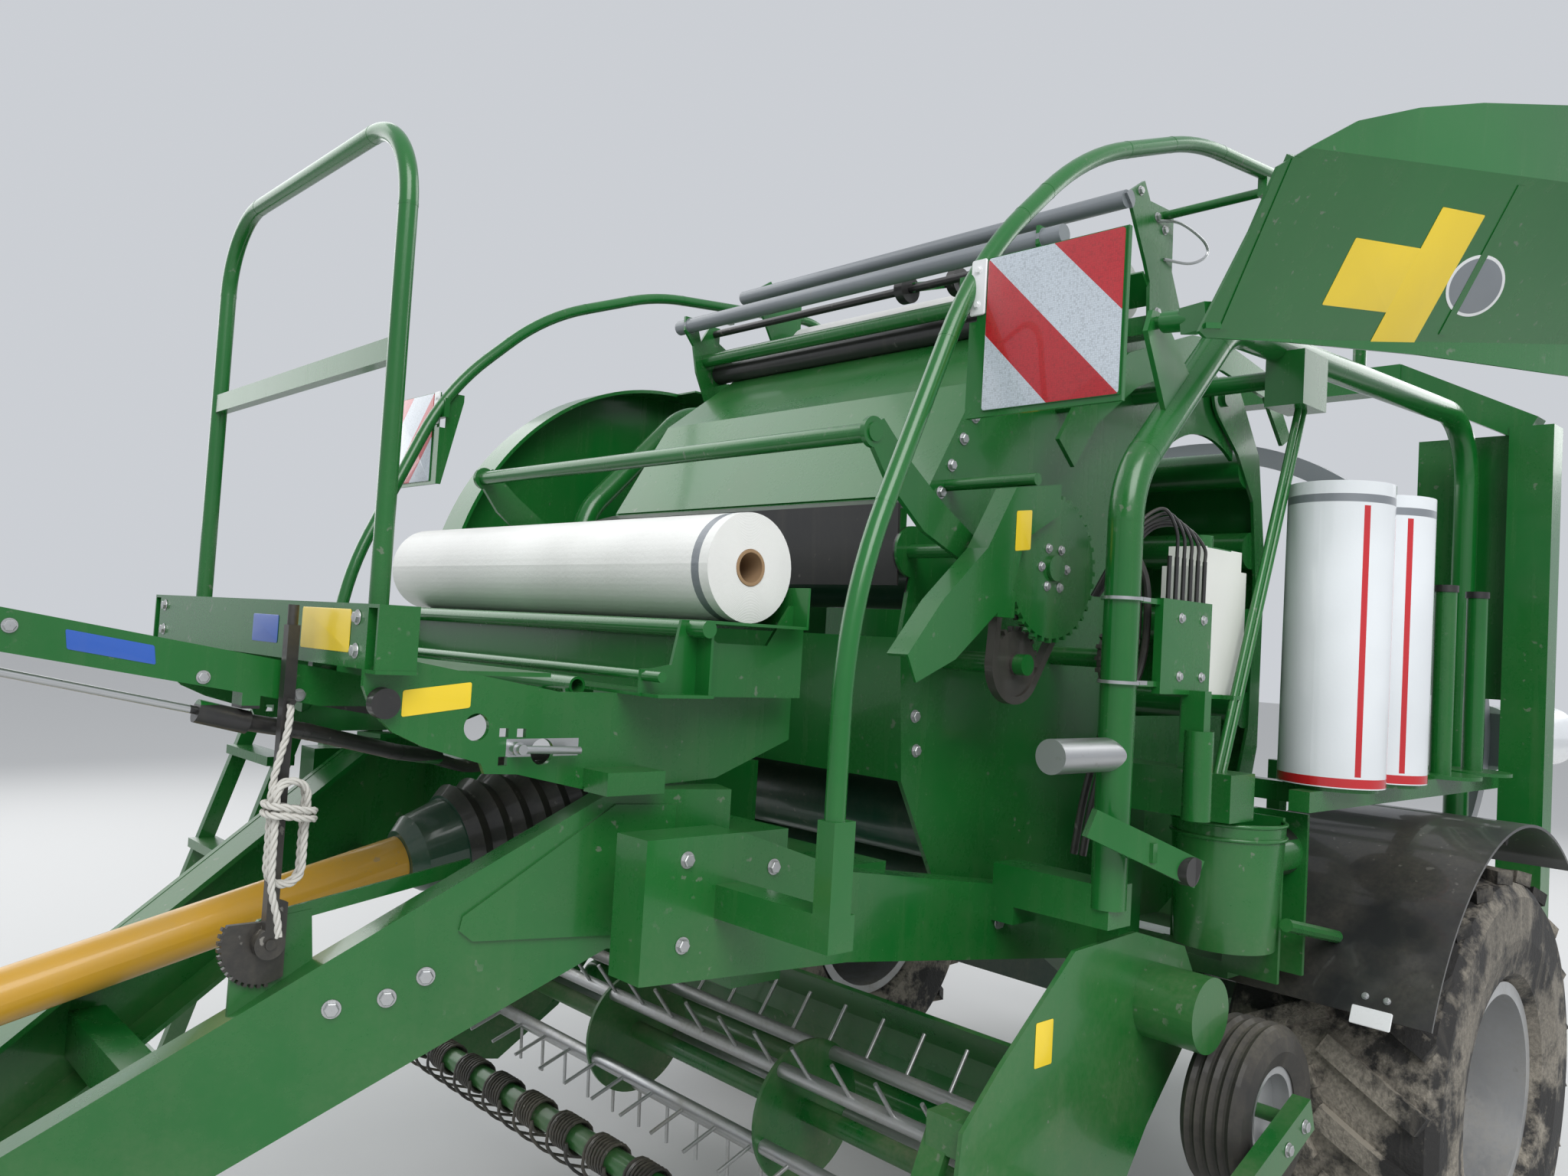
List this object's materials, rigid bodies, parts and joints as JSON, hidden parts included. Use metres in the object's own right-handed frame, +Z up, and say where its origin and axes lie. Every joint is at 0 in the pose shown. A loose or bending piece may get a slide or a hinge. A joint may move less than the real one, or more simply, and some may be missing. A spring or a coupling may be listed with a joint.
{
  "type": "bale_wrapper",
  "caption": "Towed round baler with a built-in bale wrapper, in dusty green paint: drawbar, raised pickup, open side door, white film rolls, wrapping ring and table.",
  "frame": {"origin": "centre of the hitch ring's bore", "axes": "+X forward, towards the tractor; +Y to the machine's left; +Z up"},
  "size_m": [6.339, 3.2323, 3.1952],
  "materials": {
    "green_paint": "gloss, with dust and scratches",
    "dark_green_paint": "gloss, worn",
    "black_plastic": "matt",
    "black_paint": "satin",
    "rubber": "matt, dusty",
    "rim_silver": "satin, muddy",
    "zinc_steel": "zinc plated",
    "yellow_plastic": "satin",
    "white_film": "glossy stretch film",
    "net_white": "woven net film",
    "cord": "braided",
    "board_white": "reflective",
    "tank_white": "translucent",
    "grey_paint": "satin"
  },
  "bodies": {
    "chassis": {"main_frame": "green_paint", "axle": "dark_green_paint", "drawbar": "green_paint", "hitch_ring": "green_paint", "jack_tube": "green_paint", "mudguards": "black_plastic", "drive_shaft": "yellow_plastic", "hose_arm": "green_paint", "brake_sector": "black_paint", "platform": "green_paint", "handrail": "green_paint", "net_cradle": "green_paint", "net_roll": "net_white", "bow_tubes": "green_paint", "marker_boards": "board_white", "net_unit": "green_paint", "chamber_shell": "green_paint", "chamber_rollers": "dark_green_paint", "side_frames": "green_paint", "drive_chains": "zinc_steel", "chain_guard": "green_paint", "oil_tank": "tank_white", "service_unit": "green_paint", "film_rack": "green_paint", "film_rolls": "white_film", "ring_frame": "green_paint"},
    "wheel_left": {"tyre_left": "rubber", "rim_left": "rim_silver"},
    "wheel_right": {"tyre_right": "rubber", "rim_right": "rim_silver"},
    "jack_leg": {"jack_leg": "zinc_steel"},
    "brake_lever": {"brake_lever": "black_paint", "cord_run": "cord", "cord_hank": "cord"},
    "roll_loader": {"roll_loader": "green_paint"},
    "rear_gate": {"rear_gate": "green_paint"},
    "wrap_ring": {"wrap_ring": "grey_paint", "ring_film": "white_film"},
    "wrap_table": {"wrap_table": "green_paint"},
    "pickup": {"pickup_frame": "green_paint"},
    "pickup_reel": {"pickup_reel": "zinc_steel"},
    "pickup_wheel_left": {"pickup_wheel_left": "rubber"},
    "pickup_wheel_right": {"pickup_wheel_right": "rubber"},
    "door_left": {"door_left": "green_paint"},
    "door_right": {"door_right": "green_paint"}
  },
  "joints": [
    {"name": "wheel_left_spin", "type": "hinge", "parent": "chassis", "child": "wheel_left", "pos_m": [-4.36, 1.16, 0.142], "axis": [0, 1, 0], "continuous": true},
    {"name": "wheel_right_spin", "type": "hinge", "parent": "chassis", "child": "wheel_right", "pos_m": [-4.36, -1.16, 0.142], "axis": [0, 1, 0], "continuous": true},
    {"name": "jack_slide", "type": "slide", "parent": "chassis", "child": "jack_leg", "axis": [0, 0, 1], "range_m": [0, 0.31]},
    {"name": "brake_lever_turn", "type": "hinge", "parent": "chassis", "child": "brake_lever", "pos_m": [-1.41, 0.352, 0.71], "axis": [0, 1, 0], "range_deg": [0, 35]},
    {"name": "loader_turn", "type": "hinge", "parent": "chassis", "child": "roll_loader", "pos_m": [-2.7, 0.795, 1.5], "axis": [0, 1, 0], "range_deg": [-60, 20]},
    {"name": "rear_gate_turn", "type": "hinge", "parent": "chassis", "child": "rear_gate", "pos_m": [-4.14, 0.64, 2.12], "axis": [0, 1, 0], "range_deg": [0, 45]},
    {"name": "wrap_ring_spin", "type": "hinge", "parent": "chassis", "child": "wrap_ring", "pos_m": [-5.2, 0, 1.08], "axis": [1, 0, 0], "continuous": true},
    {"name": "wrap_table_tilt", "type": "hinge", "parent": "chassis", "child": "wrap_table", "pos_m": [-6.2, 0, 0.25], "axis": [0, -1, 0], "range_deg": [0, 45]},
    {"name": "pickup_lower", "type": "hinge", "parent": "chassis", "child": "pickup", "pos_m": [-3.5, 0.83, 0.3], "axis": [0, 1, 0], "range_deg": [0, 16]},
    {"name": "pickup_reel_spin", "type": "hinge", "parent": "pickup", "child": "pickup_reel", "pos_m": [-2.74, 0, 0.13], "axis": [0, 1, 0], "continuous": true},
    {"name": "pickup_wheel_left_spin", "type": "hinge", "parent": "pickup", "child": "pickup_wheel_left", "pos_m": [-3.3, 1.195, 0.29], "axis": [0, 1, 0], "continuous": true},
    {"name": "pickup_wheel_right_spin", "type": "hinge", "parent": "pickup", "child": "pickup_wheel_right", "pos_m": [-3.3, -1.195, 0.29], "axis": [0, 1, 0], "continuous": true},
    {"name": "door_left_turn", "type": "hinge", "parent": "chassis", "child": "door_left", "pos_m": [-2.96, 1.13, 2.02], "axis": [0.127, 0.9859, -0.109], "range_deg": [-100, 0]},
    {"name": "door_right_turn", "type": "hinge", "parent": "chassis", "child": "door_right", "pos_m": [-3.85, -1.1, 2.196], "axis": [-1, 0, 0], "range_deg": [0, 75]}
  ]
}
